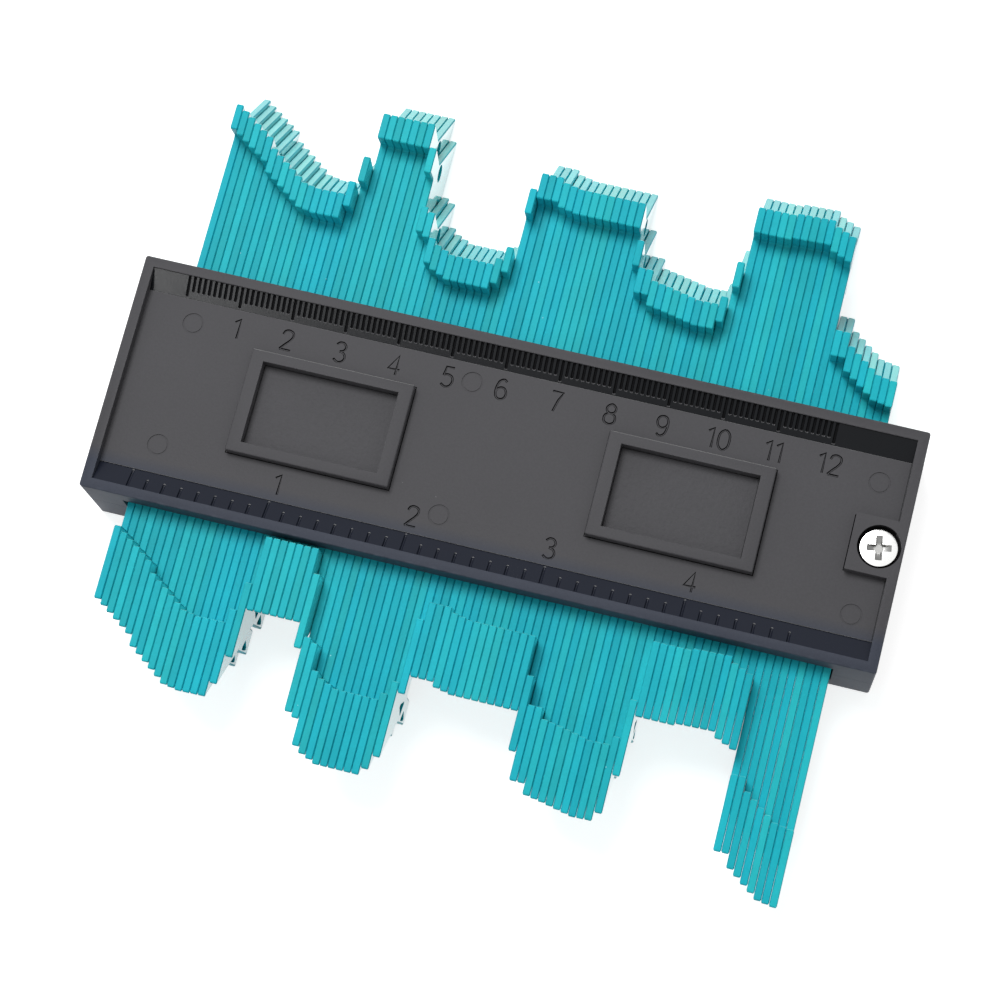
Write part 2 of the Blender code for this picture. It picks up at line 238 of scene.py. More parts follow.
# Strokes of the digits, in hundredths of their height; a stroke is (is it a curve, its points)
DIGITS = {
    "0": (60, (
        (True, ((30, 100), (8, 82), (3, 50), (8, 18), (30, 0), (52, 18), (57, 50), (52, 82),
                (30, 100))),
    )),
    "1": (36, (
        (False, ((2, 80), (28, 100), (28, 0))),
    )),
    "2": (60, (
        (True, ((4, 76), (12, 94), (31, 100), (51, 92), (56, 74), (46, 52), (22, 24), (3, 0))),
        (False, ((3, 0), (58, 0))),
    )),
    "3": (60, (
        (True, ((5, 86), (20, 99), (40, 98), (53, 80), (45, 61), (26, 54))),
        (True, ((26, 54), (48, 47), (58, 27), (49, 7), (27, 0), (4, 13))),
    )),
    "4": (60, (
        (False, ((44, 0), (44, 100), (2, 28), (60, 28))),
    )),
    "5": (60, (
        (False, ((54, 100), (15, 100), (9, 54))),
        (True, ((9, 54), (28, 63), (50, 55), (58, 33), (48, 8), (26, 0), (4, 12))),
    )),
    "6": (60, (
        (True, ((50, 90), (34, 100), (14, 88), (5, 60), (4, 32), (13, 7), (31, 0), (50, 8), (57, 30),
                (48, 52), (30, 59), (12, 50), (4, 32))),
    )),
    "7": (60, (
        (False, ((3, 100), (57, 100), (40, 62), (24, 0))),
    )),
    "8": (60, (
        (True, ((30, 54), (11, 64), (9, 84), (30, 100), (51, 84), (49, 64), (30, 54))),
        (True, ((30, 54), (6, 42), (5, 13), (30, 0), (55, 13), (54, 42), (30, 54))),
    )),
    "9": (60, (
        (True, ((10, 10), (26, 0), (46, 12), (55, 40), (56, 68), (47, 93), (29, 100), (10, 92), (3, 70),
                (12, 48), (30, 41), (48, 50), (56, 68))),
    )),
}


def length_setting(name, description, default):
    return FloatProperty(name=name, description=description, default=default, unit="LENGTH")


def colour_setting(name, description, default):
    return FloatVectorProperty(name=name, description=description, default=default, subtype="COLOR")


class GaugeLeafSettings(bpy.types.PropertyGroup):
    """Sizes and colours of the sliding leaves."""

    thickness: length_setting("Thickness", "Thickness of one leaf", 0.00141)
    edge: length_setting("Edge", "Width of the small bevel round a leaf", 0.00016)
    edge_reach: length_setting("Edge reach", "How far the bevel runs down the flat sides", 0.00033)
    slack: length_setting("Slack", "How far a leaf may sit aside of its place", 0.000003)
    colour: colour_setting("Colour", "Colour of the leaf plastic", (0.017, 0.49, 0.60))
    side_colour: colour_setting("Side colour", "Colour of the polished flat sides", (0.06, 0.60, 0.68))
    # Painted sheen: the slanted tips are paler than the leaf plastic, standing for the white sheen their
    # glossy faces show.
    tip_colour: colour_setting("Tip colour", "Colour of the slanted back tips", (0.13, 0.68, 0.72))


class GaugeHousingSettings(bpy.types.PropertyGroup):
    """Sizes and colours of the two covers."""

    corner: length_setting("Corner", "Radius of the housing's upright corners", 0.0005)
    rim_edge: length_setting("Rim edge", "Radius of the rim's outer edge", 0.00025)
    mark_width: length_setting("Mark width", "Width of a graduation", 0.00048)
    mark_depth: length_setting("Mark depth", "Depth of a graduation", 0.00036)
    mark_ramp: FloatVectorProperty(
        name="Mark ramp", description="Length of the slope at the nose of an upper and a lower graduation",
        default=(0.00005, 0.0004), size=2, unit="LENGTH",
    )
    mark_chamfer: length_setting("Mark chamfer", "Width of the chamfer round a graduation", 0.00005)
    digit_height: length_setting("Digit height", "Height of a number", 0.0037)
    digit_stroke: length_setting("Digit stroke", "Width of a number's stroke", 0.00049)
    digit_steps: IntProperty(
        name="Digit steps", description="Steps between two points of a curved stroke", default=5
    )
    # Partly painted sheen: the plastic is black, and this grey stands for the sheen its rough face shows
    # under light; the polished bands keep the black.
    colour: colour_setting("Colour", "Colour of the textured plastic", (0.078, 0.077, 0.083))
    band_colour: colour_setting("Band colour", "Colour of the polished bands", (0.006, 0.007, 0.009))


class GaugeMetalSettings(bpy.types.PropertyGroup):
    """Size and colours of the screws."""

    recess: length_setting("Recess", "Reach of the cross recess from the screw's middle", 0.00220)
    colour: colour_setting("Colour", "Colour of the nickel plating", (0.93, 0.93, 0.92))
    # Painted shade: the recess metal is darker than the plating, standing for the shade inside the recess.
    recess_colour: colour_setting("Recess colour", "Colour of the metal in the recess", (0.25, 0.25, 0.245))


# Meshes


def linked(name, mesh):
    made = bpy.data.objects.new(name, mesh)
    bpy.context.scene.collection.objects.link(made)
    return made


def mesh_from(name, work):
    mesh = bpy.data.meshes.new(name)
    work.to_mesh(mesh)
    work.free()
    return mesh


def box(name, low, high):
    work = bmesh.new()
    bmesh.ops.create_cube(work, size=1.0)
    low, high = Vector(low), Vector(high)
    bmesh.ops.scale(work, vec=high - low, verts=work.verts)
    bmesh.ops.translate(work, vec=(low + high) / 2, verts=work.verts)
    return linked(name, mesh_from(name, work))


def block(name, middle, half_x, half_y, low, high):
    """A box about a middle in X and the gauge's long middle, between two levels."""
    return box(name, (middle - half_x, -half_y, low), (middle + half_x, half_y, high))


def rod(name, centre, radius, low, high, sides):
    work = bmesh.new()
    bmesh.ops.create_cone(
        work, cap_ends=True, segments=sides, radius1=radius, radius2=radius, depth=high - low
    )
    bmesh.ops.translate(work, vec=(centre[0], centre[1], (low + high) / 2), verts=work.verts)
    return linked(name, mesh_from(name, work))


def walled(work, rings):
    """Adds the faces between each ring of vertices and the next."""
    for low, high in zip(rings, rings[1:]):
        for index in range(len(low)):
            follow = (index + 1) % len(low)
            work.faces.new((low[index], low[follow], high[follow], high[index]))


def lofted(name, rings):
    """A closed mesh through rings of points."""
    work = bmesh.new()
    rings = [[work.verts.new(point) for point in ring] for ring in rings]
    walled(work, rings)
    work.faces.new(rings[0])
    work.faces.new(rings[-1])
    bmesh.ops.recalc_face_normals(work, faces=work.faces)
    return mesh_from(name, work)


def rounded(corners, steps=4):
    """The outline through (across, up, radius) corners, each rounded with an arc of its radius."""
    points = []
    count = len(corners)
    for index, (across, up, radius) in enumerate(corners):
        here = Vector((across, up))
        before = Vector(corners[index - 1][:2]) - here
        after = Vector(corners[(index + 1) % count][:2]) - here
        half = before.angle(after) / 2
        reach = radius / math.tan(half)
        limit = 0.45 * min(before.length, after.length)
        if reach > limit:
            reach, radius = limit, limit * math.tan(half)
        start = here + before.normalized() * reach
        end = here + after.normalized() * reach
        middle = here + (before.normalized() + after.normalized()).normalized() * (radius / math.sin(half))
        arm, last = start - middle, end - middle
        turn = math.atan2(arm.x * last.y - arm.y * last.x, arm.dot(last))
        for step in range(steps + 1):
            points.append(middle + Matrix.Rotation(turn * step / steps, 2) @ arm)
    return points


def inset(points, amount):
    """The outline moved to its left by an amount, each corner along its bisector."""
    moved = []
    count = len(points)
    for index, here in enumerate(points):
        back = (here - points[index - 1]).normalized()
        ahead = (points[(index + 1) % count] - here).normalized()
        normal = Vector((-back.y - ahead.y, back.x + ahead.x)).normalized()
        share = max(0.4, normal.dot(Vector((-back.y, back.x))))
        moved.append(here + normal * (amount / share))
    return moved


def area(points):
    return sum(a.x * b.y - a.y * b.x for a, b in zip(points, points[1:] + points[:1])) / 2


def leaf_mesh(name, thickness, edge, edge_reach):
    """One leaf with its hole and windows, its nose's top at the origin and a small bevel all round."""
    up, depth, radius = LEAF_HOLE
    hole = []
    for step in range(HOLE_SIDES):
        turn = step * math.tau / HOLE_SIDES
        hole.append(Vector((up + radius * math.cos(turn), depth + radius * math.sin(turn))))
    loops = [rounded(LEAF_OUTLINE), hole, *(rounded(corners, 3) for corners in LEAF_WINDOWS)]
    turned = []
    for index, points in enumerate(loops):
        keep_turn = area(points) > 0 if index == 0 else area(points) < 0
        turned.append(points if keep_turn else points[::-1])
    half = thickness / 2
    reaches = [edge_reach] + [edge / 2] * (len(turned) - 1)
    work = bmesh.new()
    rings = []
    for points, reach in zip(turned, reaches):
        ring = []
        for level, amount in ((-half, reach), (-half + edge, 0.0), (half - edge, 0.0), (half, reach)):
            place = inset(points, amount) if amount else points
            ring.append([work.verts.new((level, p.x, LEAF_DEPTH / 2 - p.y)) for p in place])
        rings.append(ring)
        walled(work, ring)
    flat = [
        [Vector((p.x, p.y, 0.0)) for p in inset(points, reach)] for points, reach in zip(turned, reaches)
    ]
    for side in (0, -1):
        corners = [vert for ring in rings for vert in ring[side]]
        for triangle in tessellate_polygon(flat):
            work.faces.new([corners[index] for index in triangle])
    for vert in work.verts:
        share = min(max((HEAD_TOP + FOOT_BLEND / 2 - vert.co.y) / FOOT_BLEND, 0.0), 1.0)
        vert.co.x *= 1.0 - FOOT_THINNING * share
    bmesh.ops.recalc_face_normals(work, faces=work.faces)
    return mesh_from(name, work)


def cut(body, tool, operation="DIFFERENCE", own=False):
    """Applies an exact boolean and throws the tool away."""
    step = body.modifiers.new(tool.name, "BOOLEAN")
    step.operation = operation
    step.solver = "EXACT"
    step.use_self = own
    step.object = tool
    apply_modifiers(body)
    bpy.data.objects.remove(tool, do_unlink=True)


def soften(body, width, segments, weighted=False):
    """Rounds a body's edges, or those that have a bevel weight by their weight."""
    bevel = body.modifiers.new("soft", "BEVEL")
    bevel.width = width
    bevel.segments = segments
    if weighted:
        bevel.limit_method = "WEIGHT"
    apply_modifiers(body)


def joined(bodies):
    """One object from several, with their meshes side by side."""
    work = bmesh.new()
    for body in bodies:
        work.from_mesh(body.data)
    name = bodies[0].name
    for body in bodies:
        bpy.data.objects.remove(body, do_unlink=True)
    return linked(name, mesh_from(name, work))


def apply_modifiers(body):
    """Replaces the body's mesh with what its modifiers make of it."""
    bpy.context.view_layer.update()
    evaluated = body.evaluated_get(bpy.context.evaluated_depsgraph_get())
    mesh = bpy.data.meshes.new_from_object(evaluated)
    mesh.name = body.name
    body.modifiers.clear()
    body.data = mesh


def flat_with_soft_turns(mesh):
    mesh.shade_smooth()
    mesh.set_sharp_from_angle(angle=math.radians(SOFT_TURN))


def mark_mesh(name, housing, ramp, length):
    """Cutter for a round-nosed graduation: its nose at the origin, running along +Y."""
    width, depth, chamfer = housing.mark_width, housing.mark_depth, housing.mark_chamfer
    levels = [(GAP, 1.0 + 2 * (GAP + chamfer) / width), (-chamfer, 1.0)]
    levels += [(-down * depth, share) for down, share in MARK_FLOOR]
    rings = []
    for level, share in levels:
        radius = width / 2 * share
        middle = width / 2 - ramp * min(level, 0.0) / depth
        nose = [(math.cos(math.pi * step / 6), math.sin(math.pi * step / 6)) for step in range(1, 6)]
        points = [(-radius, length), (-radius, middle)]
        points += [(-radius * across, middle - radius * along) for across, along in nose]
        points += [(radius, middle), (radius, length)]
        rings.append([(x, y, level) for x, y in points])
    return lofted(name, rings)


def stroke_points(curved, points, steps):
    """A stroke's points, with a smooth curve through them where it is curved."""
    points = [Vector((across / 100, up / 100)) for across, up in points]
    if not curved:
        return points
    closed = (points[0] - points[-1]).length < 1e-6
    padded = [points[-2] if closed else 2 * points[0] - points[1], *points]
    padded.append(points[1] if closed else 2 * points[-1] - points[-2])
    made = []
    for index in range(1, len(padded) - 2):
        a, b, c, d = padded[index - 1:index + 3]
        for step in range(steps):
            t = step / steps
            made.append(
                0.5 * (2 * b + (c - a) * t + (2 * a - 5 * b + 4 * c - d) * t ** 2
                       + (3 * b - a - 3 * c + d) * t ** 3)
            )
    return made + [points[-1]]


# Node trees


def new_group(name, kind, inputs, outputs):
    """A node group with named inputs and outputs, its given values and its results."""
    group = bpy.data.node_groups.new(name, kind)
    for label, socket_kind, *value in inputs:
        socket = group.interface.new_socket(label, in_out="INPUT", socket_type="NodeSocket" + socket_kind)
        if value:
            socket.default_value = value[0]
    for label, socket_kind in outputs:
        group.interface.new_socket(label, in_out="OUTPUT", socket_type="NodeSocket" + socket_kind)
    return group, group.nodes.new("NodeGroupInput").outputs, group.nodes.new("NodeGroupOutput").inputs


def new_tree(name, *inputs):
    """A Geometry Nodes tree with a geometry input and output and the named inputs."""
    geometry = ("Geometry", "Geometry")
    return new_group(name, "GeometryNodeTree", (geometry, *inputs), (geometry,))


def feed(tree, inputs, values):
    """Links or sets inputs by name or number."""
    for socket, source in values.items():
        if isinstance(source, bpy.types.NodeSocket):
            tree.links.new(source, inputs[socket])
        else:
            inputs[socket].default_value = source


def node(tree, kind, links=None, **values):
    """A node with its properties set and its inputs fed."""
    made = tree.nodes.new(kind)
    for key, value in values.items():
        setattr(made, key, value)
    feed(tree, made.inputs, links or {})
    return made


def first(tree, kind, links=None, **values):
    """The first output of a new node."""
    return node(tree, kind, links, **values).outputs[0]


def maths(tree, operation, *values, clamp=False):
    """The result of a new maths node on its values."""
    return first(tree, "ShaderNodeMath", dict(enumerate(values)), operation=operation, use_clamp=clamp)


def run_tree(name, tree, values, source=None):
    """Runs a tree on an object and returns the result as a plain mesh object."""
    body = linked(name, source or bpy.data.meshes.new(name))
    step = body.modifiers.new(tree.name, "NODES")
    step.node_group = tree
    for item in tree.interface.items_tree:
        if item.in_out == "INPUT" and item.name in values:
            step[item.identifier] = values[item.name]
    apply_modifiers(body)
    return body


def end_tree(tree, given, out, geometry, marked=()):
    """Ends a tree: the realized geometry with its finish, and the marked faces with their own."""
    done = first(tree, "GeometryNodeRealizeInstances", {"Geometry": geometry})
    done = first(tree, "GeometryNodeSetMaterial", {"Geometry": done, "Material": given["Finish"]})
    for mark, finish in marked:
        chosen = first(tree, "GeometryNodeInputNamedAttribute", {"Name": mark}, data_type="BOOLEAN")
        done = first(tree, "GeometryNodeSetMaterial", {
            "Geometry": done, "Selection": chosen, "Material": given[finish],
        })
    feed(tree, out, {"Geometry": done})
    return tree


def line_of_points(tree, given, start, offset):
    return first(tree, "GeometryNodeMeshLine", {
        "Count": given["Count"], "Start Location": start, "Offset": offset,
    }, mode="OFFSET")


def copies(tree, points, model, **choice):
    """Copies of an object's mesh on points."""
    model = node(tree, "GeometryNodeObjectInfo", {"Object": model}).outputs["Geometry"]
    return first(tree, "GeometryNodeInstanceOnPoints", {"Points": points, "Instance": model, **choice})


def leaf_stack_tree():
    """Leaves side by side at their spacing, each with its own rise, slack and shade."""
    tree, given, out = new_tree(
        "leaf_stack", ("Leaf", "Object"), ("Count", "Int"), ("Pitch", "Float"), ("Rise", "Float"),
        ("Place", "Vector"), ("Slack", "Float"), ("First", "Int"), ("Seed", "Int"),
        ("Finish", "Material"), ("Side Finish", "Material"), ("Tip Finish", "Material"),
    )
    offset = first(tree, "ShaderNodeCombineXYZ", {"X": given["Pitch"], "Y": given["Rise"]})
    line = line_of_points(tree, given, given["Place"], offset)
    number = maths(tree, "ADD", first(tree, "GeometryNodeInputIndex"), given["First"])
    aside = node(tree, "FunctionNodeRandomValue", {
        2: maths(tree, "MULTIPLY", given["Slack"], -1.0), 3: given["Slack"],
        "ID": number, "Seed": given["Seed"],
    }, data_type="FLOAT").outputs[1]
    shift = first(tree, "ShaderNodeCombineXYZ", {"X": aside})
    moved = first(tree, "GeometryNodeSetPosition", {"Geometry": line, "Offset": shift})
    placed = copies(tree, moved, given["Leaf"])
    tone = node(tree, "FunctionNodeRandomValue", {
        "ID": number, "Seed": TONE_SEED,
    }, data_type="FLOAT").outputs[1]
    stored = first(tree, "GeometryNodeStoreNamedAttribute", {
        "Geometry": placed, "Name": "leaf_tone", "Value": tone,
    }, data_type="FLOAT", domain="INSTANCE")
    return end_tree(tree, given, out, stored, (("flat_side", "Side Finish"), ("tip_slope", "Tip Finish")))


def graduation_tree():
    """A row of graduations with every so many of them long."""
    tree, given, out = new_tree(
        "graduations", ("Short Mark", "Object"), ("Long Mark", "Object"), ("Count", "Int"),
        ("Pitch", "Float"), ("Long Every", "Int"), ("Short Place", "Vector"), ("Long Place", "Vector"),
        ("Turn", "Vector"), ("Finish", "Material"),
    )
    offset = first(tree, "ShaderNodeCombineXYZ", {"X": given["Pitch"]})
    rest = maths(tree, "MODULO", first(tree, "GeometryNodeInputIndex"), given["Long Every"])
    is_long = first(tree, "FunctionNodeCompare", {0: rest, 1: 0.5}, operation="LESS_THAN")
    is_short = first(tree, "FunctionNodeBooleanMath", {0: is_long}, operation="NOT")
    both = node(tree, "GeometryNodeJoinGeometry")
    for length, chosen in (("Short", is_short), ("Long", is_long)):
        line = line_of_points(tree, given, given[length + " Place"], offset)
        placed = copies(tree, line, given[length + " Mark"], Selection=chosen, Rotation=given["Turn"])
        tree.links.new(placed, both.inputs[0])
    return end_tree(tree, given, out, both.outputs[0])


def stroke_tree():
    """A round bar swept along every stroke of the numbers."""
    tree, given, out = new_tree(
        "number_strokes", ("Radius", "Float"), ("Sides", "Int"), ("Finish", "Material")
    )
    path = first(tree, "GeometryNodeMeshToCurve", {"Mesh": given["Geometry"]})
    ring = first(tree, "GeometryNodeCurvePrimitiveCircle", {
        "Resolution": given["Sides"], "Radius": given["Radius"],
    }, mode="RADIUS")
    swept = first(tree, "GeometryNodeCurveToMesh", {
        "Curve": path, "Profile Curve": ring, "Fill Caps": True,
    })
    return end_tree(tree, given, out, swept)


# Finishes


def noise(tree, vector, scale, detail, roughness=0.5):
    return first(tree, "ShaderNodeTexNoise", {
        "Vector": vector, "Scale": scale, "Detail": detail, "Roughness": roughness,
    })


def grain_group():
    """Fine moulded grain: an uneven colour, an uneven roughness and a height for the bump."""
    group, given, out = new_group("moulded_grain", "ShaderNodeTree", (
        ("Vector", "Vector"), ("Colour", "Color", (0.1, 0.1, 0.1, 1.0)), ("Cloud Scale", "Float", 60.0),
        ("Grain Scale", "Float", 2400.0), ("Unevenness", "Float", 0.08), ("Roughness", "Float", 0.5),
        ("Roughness Spread", "Float", 0.1),
    ), (("Colour", "Color"), ("Roughness", "Float"), ("Height", "Float")))
    cloud = noise(group, given["Vector"], given["Cloud Scale"], 3.0)
    grain = noise(group, given["Vector"], given["Grain Scale"], 2.0, 0.6)
    centred = maths(group, "ADD", maths(group, "ADD", cloud, grain), -1.0)
    factor = maths(group, "ADD", maths(group, "MULTIPLY", centred, given["Unevenness"]), 1.0)
    shade = first(group, "ShaderNodeVectorMath", {0: given["Colour"], "Scale": factor}, operation="SCALE")
    rough = maths(group, "MULTIPLY_ADD", centred, given["Roughness Spread"], given["Roughness"])
    feed(group, out, {"Colour": shade, "Roughness": rough, "Height": grain})
    return group


def speck_group():
    """A few pale specks of dust and chips."""
    group, given, out = new_group("dust_specks", "ShaderNodeTree", (
        ("Vector", "Vector"), ("Scale", "Float", 220.0), ("Size", "Float", 0.04), ("Amount", "Float", 0.4),
    ), (("Mask", "Float"),))
    cells = node(group, "ShaderNodeTexVoronoi", {
        "Vector": given["Vector"], "Scale": given["Scale"], "Randomness": 1.0,
    }).outputs
    near = maths(group, "LESS_THAN", cells["Distance"], given["Size"])
    draw = first(group, "ShaderNodeSeparateColor", {0: cells["Color"]})
    few = maths(group, "LESS_THAN", draw, given["Amount"])
    feed(group, out, {"Mask": maths(group, "MULTIPLY", near, few)})
    return group


def wear_group():
    """Rubbed edges of the housing: near where two of the box's sides meet, broken up by noise."""
    group, given, out = new_group("rubbed_edges", "ShaderNodeTree", (
        ("Vector", "Vector"), ("Half Length", "Float", HALF_LENGTH), ("Half Height", "Float", HALF_HEIGHT),
        ("Half Depth", "Float", RIM_LEVEL - MIDDLE), ("Middle", "Float", MIDDLE), ("Reach", "Float", 0.0005),
    ), (("Mask", "Float"),))
    split = node(group, "ShaderNodeSeparateXYZ", {0: given["Vector"]}).outputs
    up = maths(group, "SUBTRACT", split[2], given["Middle"])
    shares = []
    for place, half in ((split[0], "Half Length"), (split[1], "Half Height"), (up, "Half Depth")):
        left = maths(group, "SUBTRACT", given[half], maths(group, "ABSOLUTE", place))
        shares.append(maths(group, "DIVIDE", left, given["Reach"]))
    least = maths(group, "MINIMUM", *shares[:2])
    most = maths(group, "MAXIMUM", *shares[:2])
    second = maths(group, "MAXIMUM", least, maths(group, "MINIMUM", most, shares[2]))
    close = maths(group, "SUBTRACT", 1.0, second, clamp=True)
    cloud = noise(group, given["Vector"], 500.0, 4.0)
    broken = first(group, "ShaderNodeMapRange", {0: cloud, 1: 0.45, 2: 0.7})
    feed(group, out, {"Mask": maths(group, "MULTIPLY", close, broken)})
    return group


SHARED = {"moulded_grain": grain_group, "dust_specks": speck_group, "rubbed_edges": wear_group}


def shared(tree, name, links):
    """The outputs of a shared group, placed in a finish with its own values."""
    group = bpy.data.node_groups.get(name) or SHARED[name]()
    return node(tree, "ShaderNodeGroup", links, node_tree=group).outputs


def mixed(tree, factor, low, high):
    return node(tree, "ShaderNodeMix", {0: factor, 6: low, 7: high}, data_type="RGBA").outputs[2]


def new_material(name):
    """A material, its tree and its shader's inputs."""
    material = bpy.data.materials.new(name)
    material.use_nodes = True
    return material, material.node_tree, material.node_tree.nodes["Principled BSDF"].inputs


def grained(name, colour, relief, grain):
    """A finish whose roughness and bump come from the moulded grain, and the grain's colour."""
    finish, tree, shader = new_material(name)
    place = node(tree, "ShaderNodeTexCoord").outputs["Object"]
    made = shared(tree, "moulded_grain", {"Vector": place, "Colour": (*colour, 1.0), **grain})
    raised = first(tree, "ShaderNodeBump", {"Height": made["Height"], "Distance": relief, "Strength": 1.0})
    feed(tree, shader, {"Roughness": made["Roughness"], "Normal": raised})
    return finish, tree, shader, place, made["Colour"]


def housing_finish(name, colour, roughness, grain_scale, relief, unevenness, specular, lower_side_painted_light):
    """Moulded black plastic with its grain, rubbed edges and specks, and bluish light and shade painted on
    its lower side.
    """
    finish, tree, shader, place, plain = grained(name, colour, relief, {
        "Grain Scale": grain_scale, "Unevenness": unevenness, "Roughness": roughness,
        "Roughness Spread": 0.12,
    })
    wear = shared(tree, "rubbed_edges", {"Vector": place})["Mask"]
    worn = mixed(tree, wear, plain, WORN_COLOUR)
    specks = shared(tree, "dust_specks", {"Vector": place, "Scale": 300.0, "Size": 0.030, "Amount": 0.10})
    dusty = mixed(tree, specks["Mask"], worn, DUST_COLOUR)
    split = node(tree, "ShaderNodeSeparateXYZ", {0: place}).outputs
    # Painted light and shade: towards the lower side the colour is multiplied by a bluish tint, which darkens
    # the plastic and lightens the band.
    lower = first(tree, "ShaderNodeMapRange", {0: split[1], 1: PAINTED_LOWER_LIGHT_SPAN[0], 2: PAINTED_LOWER_LIGHT_SPAN[1]})
    inside = maths(tree, "LESS_THAN", maths(tree, "ABSOLUTE", split[0]), HALF_LENGTH - 5 * HAIR)
    painted_cool_light = first(tree, "ShaderNodeVectorMath", {0: dusty, 1: lower_side_painted_light}, operation="MULTIPLY")
    with_painted_lower_light = mixed(tree, maths(tree, "MULTIPLY", lower, inside), dusty, painted_cool_light)
    feed(tree, shader, {"Base Color": with_painted_lower_light, "Specular IOR Level": specular})
    return finish


def leaf_finish(name, colour, roughness, roughness_spread, specular, coat):
    """Teal leaf plastic whose shade and hue differ a little from leaf to leaf."""
    finish, tree, shader, place, plain = grained(name, colour, 0.000004, {
        "Cloud Scale": 160.0, "Grain Scale": 2600.0, "Unevenness": 0.22, "Roughness": roughness,
        "Roughness Spread": roughness_spread,
    })
    tone = node(tree, "ShaderNodeAttribute", attribute_name="leaf_tone").outputs["Fac"]
    level = first(tree, "ShaderNodeMapRange", {0: tone, 3: 0.90, 4: 1.08})
    shade = first(tree, "ShaderNodeVectorMath", {0: plain, "Scale": level}, operation="SCALE")
    other = maths(tree, "FRACT", maths(tree, "MULTIPLY", tone, 7.0))
    greener = first(tree, "ShaderNodeVectorMath", {0: shade, 1: (1.5, 1.03, 0.92)}, operation="MULTIPLY")
    hue = mixed(tree, other, shade, greener)
    specks = shared(tree, "dust_specks", {"Vector": place, "Scale": 420.0, "Size": 0.05, "Amount": 0.06})
    dusty = mixed(tree, specks["Mask"], hue, (0.35, 0.75, 0.80, 1.0))
    feed(tree, shader, {"Base Color": dusty, "Specular IOR Level": specular, **coat})
    return finish


def plain_finish(name, colour, relief, metallic, grain):
    """A finish with the moulded grain alone, for metal and rubber."""
    finish, tree, shader, _, plain = grained(name, colour, relief, grain)
    feed(tree, shader, {"Base Color": plain, "Metallic": metallic})
    return finish


def nickel_finish(name, colour, roughness):
    """Nickel plating with a faint unevenness."""
    return plain_finish(name, colour, 0.000003, 1.0, {
        "Cloud Scale": 400.0, "Grain Scale": 6000.0, "Unevenness": 0.05, "Roughness": roughness,
        "Roughness Spread": 0.10,
    })


def paint(mesh, finishes, chosen):
    """Gives each face of a mesh the finish of the number that is chosen for it."""
    mesh.materials.clear()
    for finish in finishes:
        mesh.materials.append(finish)
    for face in mesh.polygons:
        face.material_index = chosen(face)
    flat_with_soft_turns(mesh)


# Pieces


def keep(piece, body, slot, *nodes):
    """Hangs a finished piece on its body, in place of the solids it stands for."""
    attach(piece, body)
    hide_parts(*nodes)


def keep_both(front, part, slot):
    """Keeps a front piece, and a copy of it turned round the gauge's long middle for the back."""
    name = "gauge_back_" + part
    mesh = front.data.copy()
    mesh.name = name
    spot = Vector((0.0, 0.0, MIDDLE))
    mesh.transform(
        Matrix.Translation(spot) @ Matrix.Rotation(math.pi, 4, "Y") @ Matrix.Translation(-spot)
    )
    keep(front, "housing", slot, "front_" + part)
    keep(linked(name, mesh), "housing", slot, "back_" + part)


class GAUGE_OT_leaves(bpy.types.Operator):
    """Builds every leaf at the height that its solid has"""

    bl_idname = "gauge.leaves"
    bl_label = "Leaves"

    def execute(self, context):
        leaf = context.scene.gauge_leaf
        polish = {"Coat Weight": 1.0, "Coat Roughness": 0.06}
        finishes = {
            "Finish": leaf_finish("leaf_edge_finish", leaf.colour, 0.30, 0.10, 0.03, {}),
            "Side Finish": leaf_finish("leaf_side_finish", leaf.side_colour, 0.10, 0.04, 0.5, polish),
            "Tip Finish": leaf_finish("leaf_tip_finish", leaf.tip_colour, 0.20, 0.06, 0.30, {}),
        }
        mesh = leaf_mesh("leaf_model", leaf.thickness, leaf.edge, leaf.edge_reach)
        normals = [face.normal for face in mesh.polygons]
        for mark, chosen in (
            ("flat_side", [abs(normal.x) > 0.97 for normal in normals]),
            ("tip_slope", [normal.y > 0.6 and normal.z > 0.3 for normal in normals]),
        ):
            mesh.attributes.new(mark, "BOOLEAN", "FACE").data.foreach_set("value", chosen)
        model = linked("leaf_model", mesh)
        tree = leaf_stack_tree()
        for name, solid in frame["nodes"].items():
            if not name.startswith("lea"):
                continue
            numbers = [int(part) for part in name.split("_")[1:]]
            count = len(numbers)
            points = [vert.co for vert in solid.data.vertices]
            low, high = min(p.x for p in points), max(p.x for p in points)
            pitch = (high - low + SOLID_GAP) / count
            near = 0.2 * (high - low) / count
            noses = [
                max(p.y for p in points if abs(p.x - side) < near) - TIP_RISE
                for side in (low, high)[:count]
            ]
            centre = (low + high) / 2
            piece = run_tree(name.replace("lea", "gauge_lea", 1), tree, {
                "Leaf": model, "Count": count, "Pitch": pitch, "Rise": noses[-1] - noses[0],
                "Place": (centre - pitch * (count - 1) / 2, noses[0], MIDDLE),
                "Slack": leaf.slack, "First": numbers[0], "Seed": SLACK_SEED, **finishes,
            })
            keep(piece, solid["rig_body"], "leaf_plastic", name)
        bpy.data.objects.remove(model, do_unlink=True)
        return {"FINISHED"}


def raise_frame(body, centre):
    """Adds a frame to the plate, with its sunk floor and the fine grooves at its outer and inner feet."""
    floor_level = PLATE_LEVEL - FRAME_FLOOR
    pad = block("frame", centre, FRAME_HALF_X, FRAME_HALF_Y, floor_level, PLATE_LEVEL + FRAME_RAISE)
    soften(pad, FRAME_EDGE, 4)
    cut(body, pad, "UNION")
    cut(body, block("frame_floor", centre, FRAME_INNER_X, FRAME_INNER_Y, floor_level, ABOVE))
    for level, wide, tall in (
        (PLATE_LEVEL, FRAME_HALF_X + CORNER_GROOVE, FRAME_HALF_Y + CORNER_GROOVE),
        (floor_level, FRAME_INNER_X - HAIR, FRAME_INNER_Y - HAIR),
    ):
        groove = block("frame_groove", centre, wide, tall, level - CORNER_DEPTH, ABOVE)
        wide, tall = wide - CORNER_GROOVE + HAIR, tall - CORNER_GROOVE + HAIR
        cut(groove, block("inside", centre, wide, tall, level - MARGIN, ABOVE + MARGIN))
        cut(body, groove)


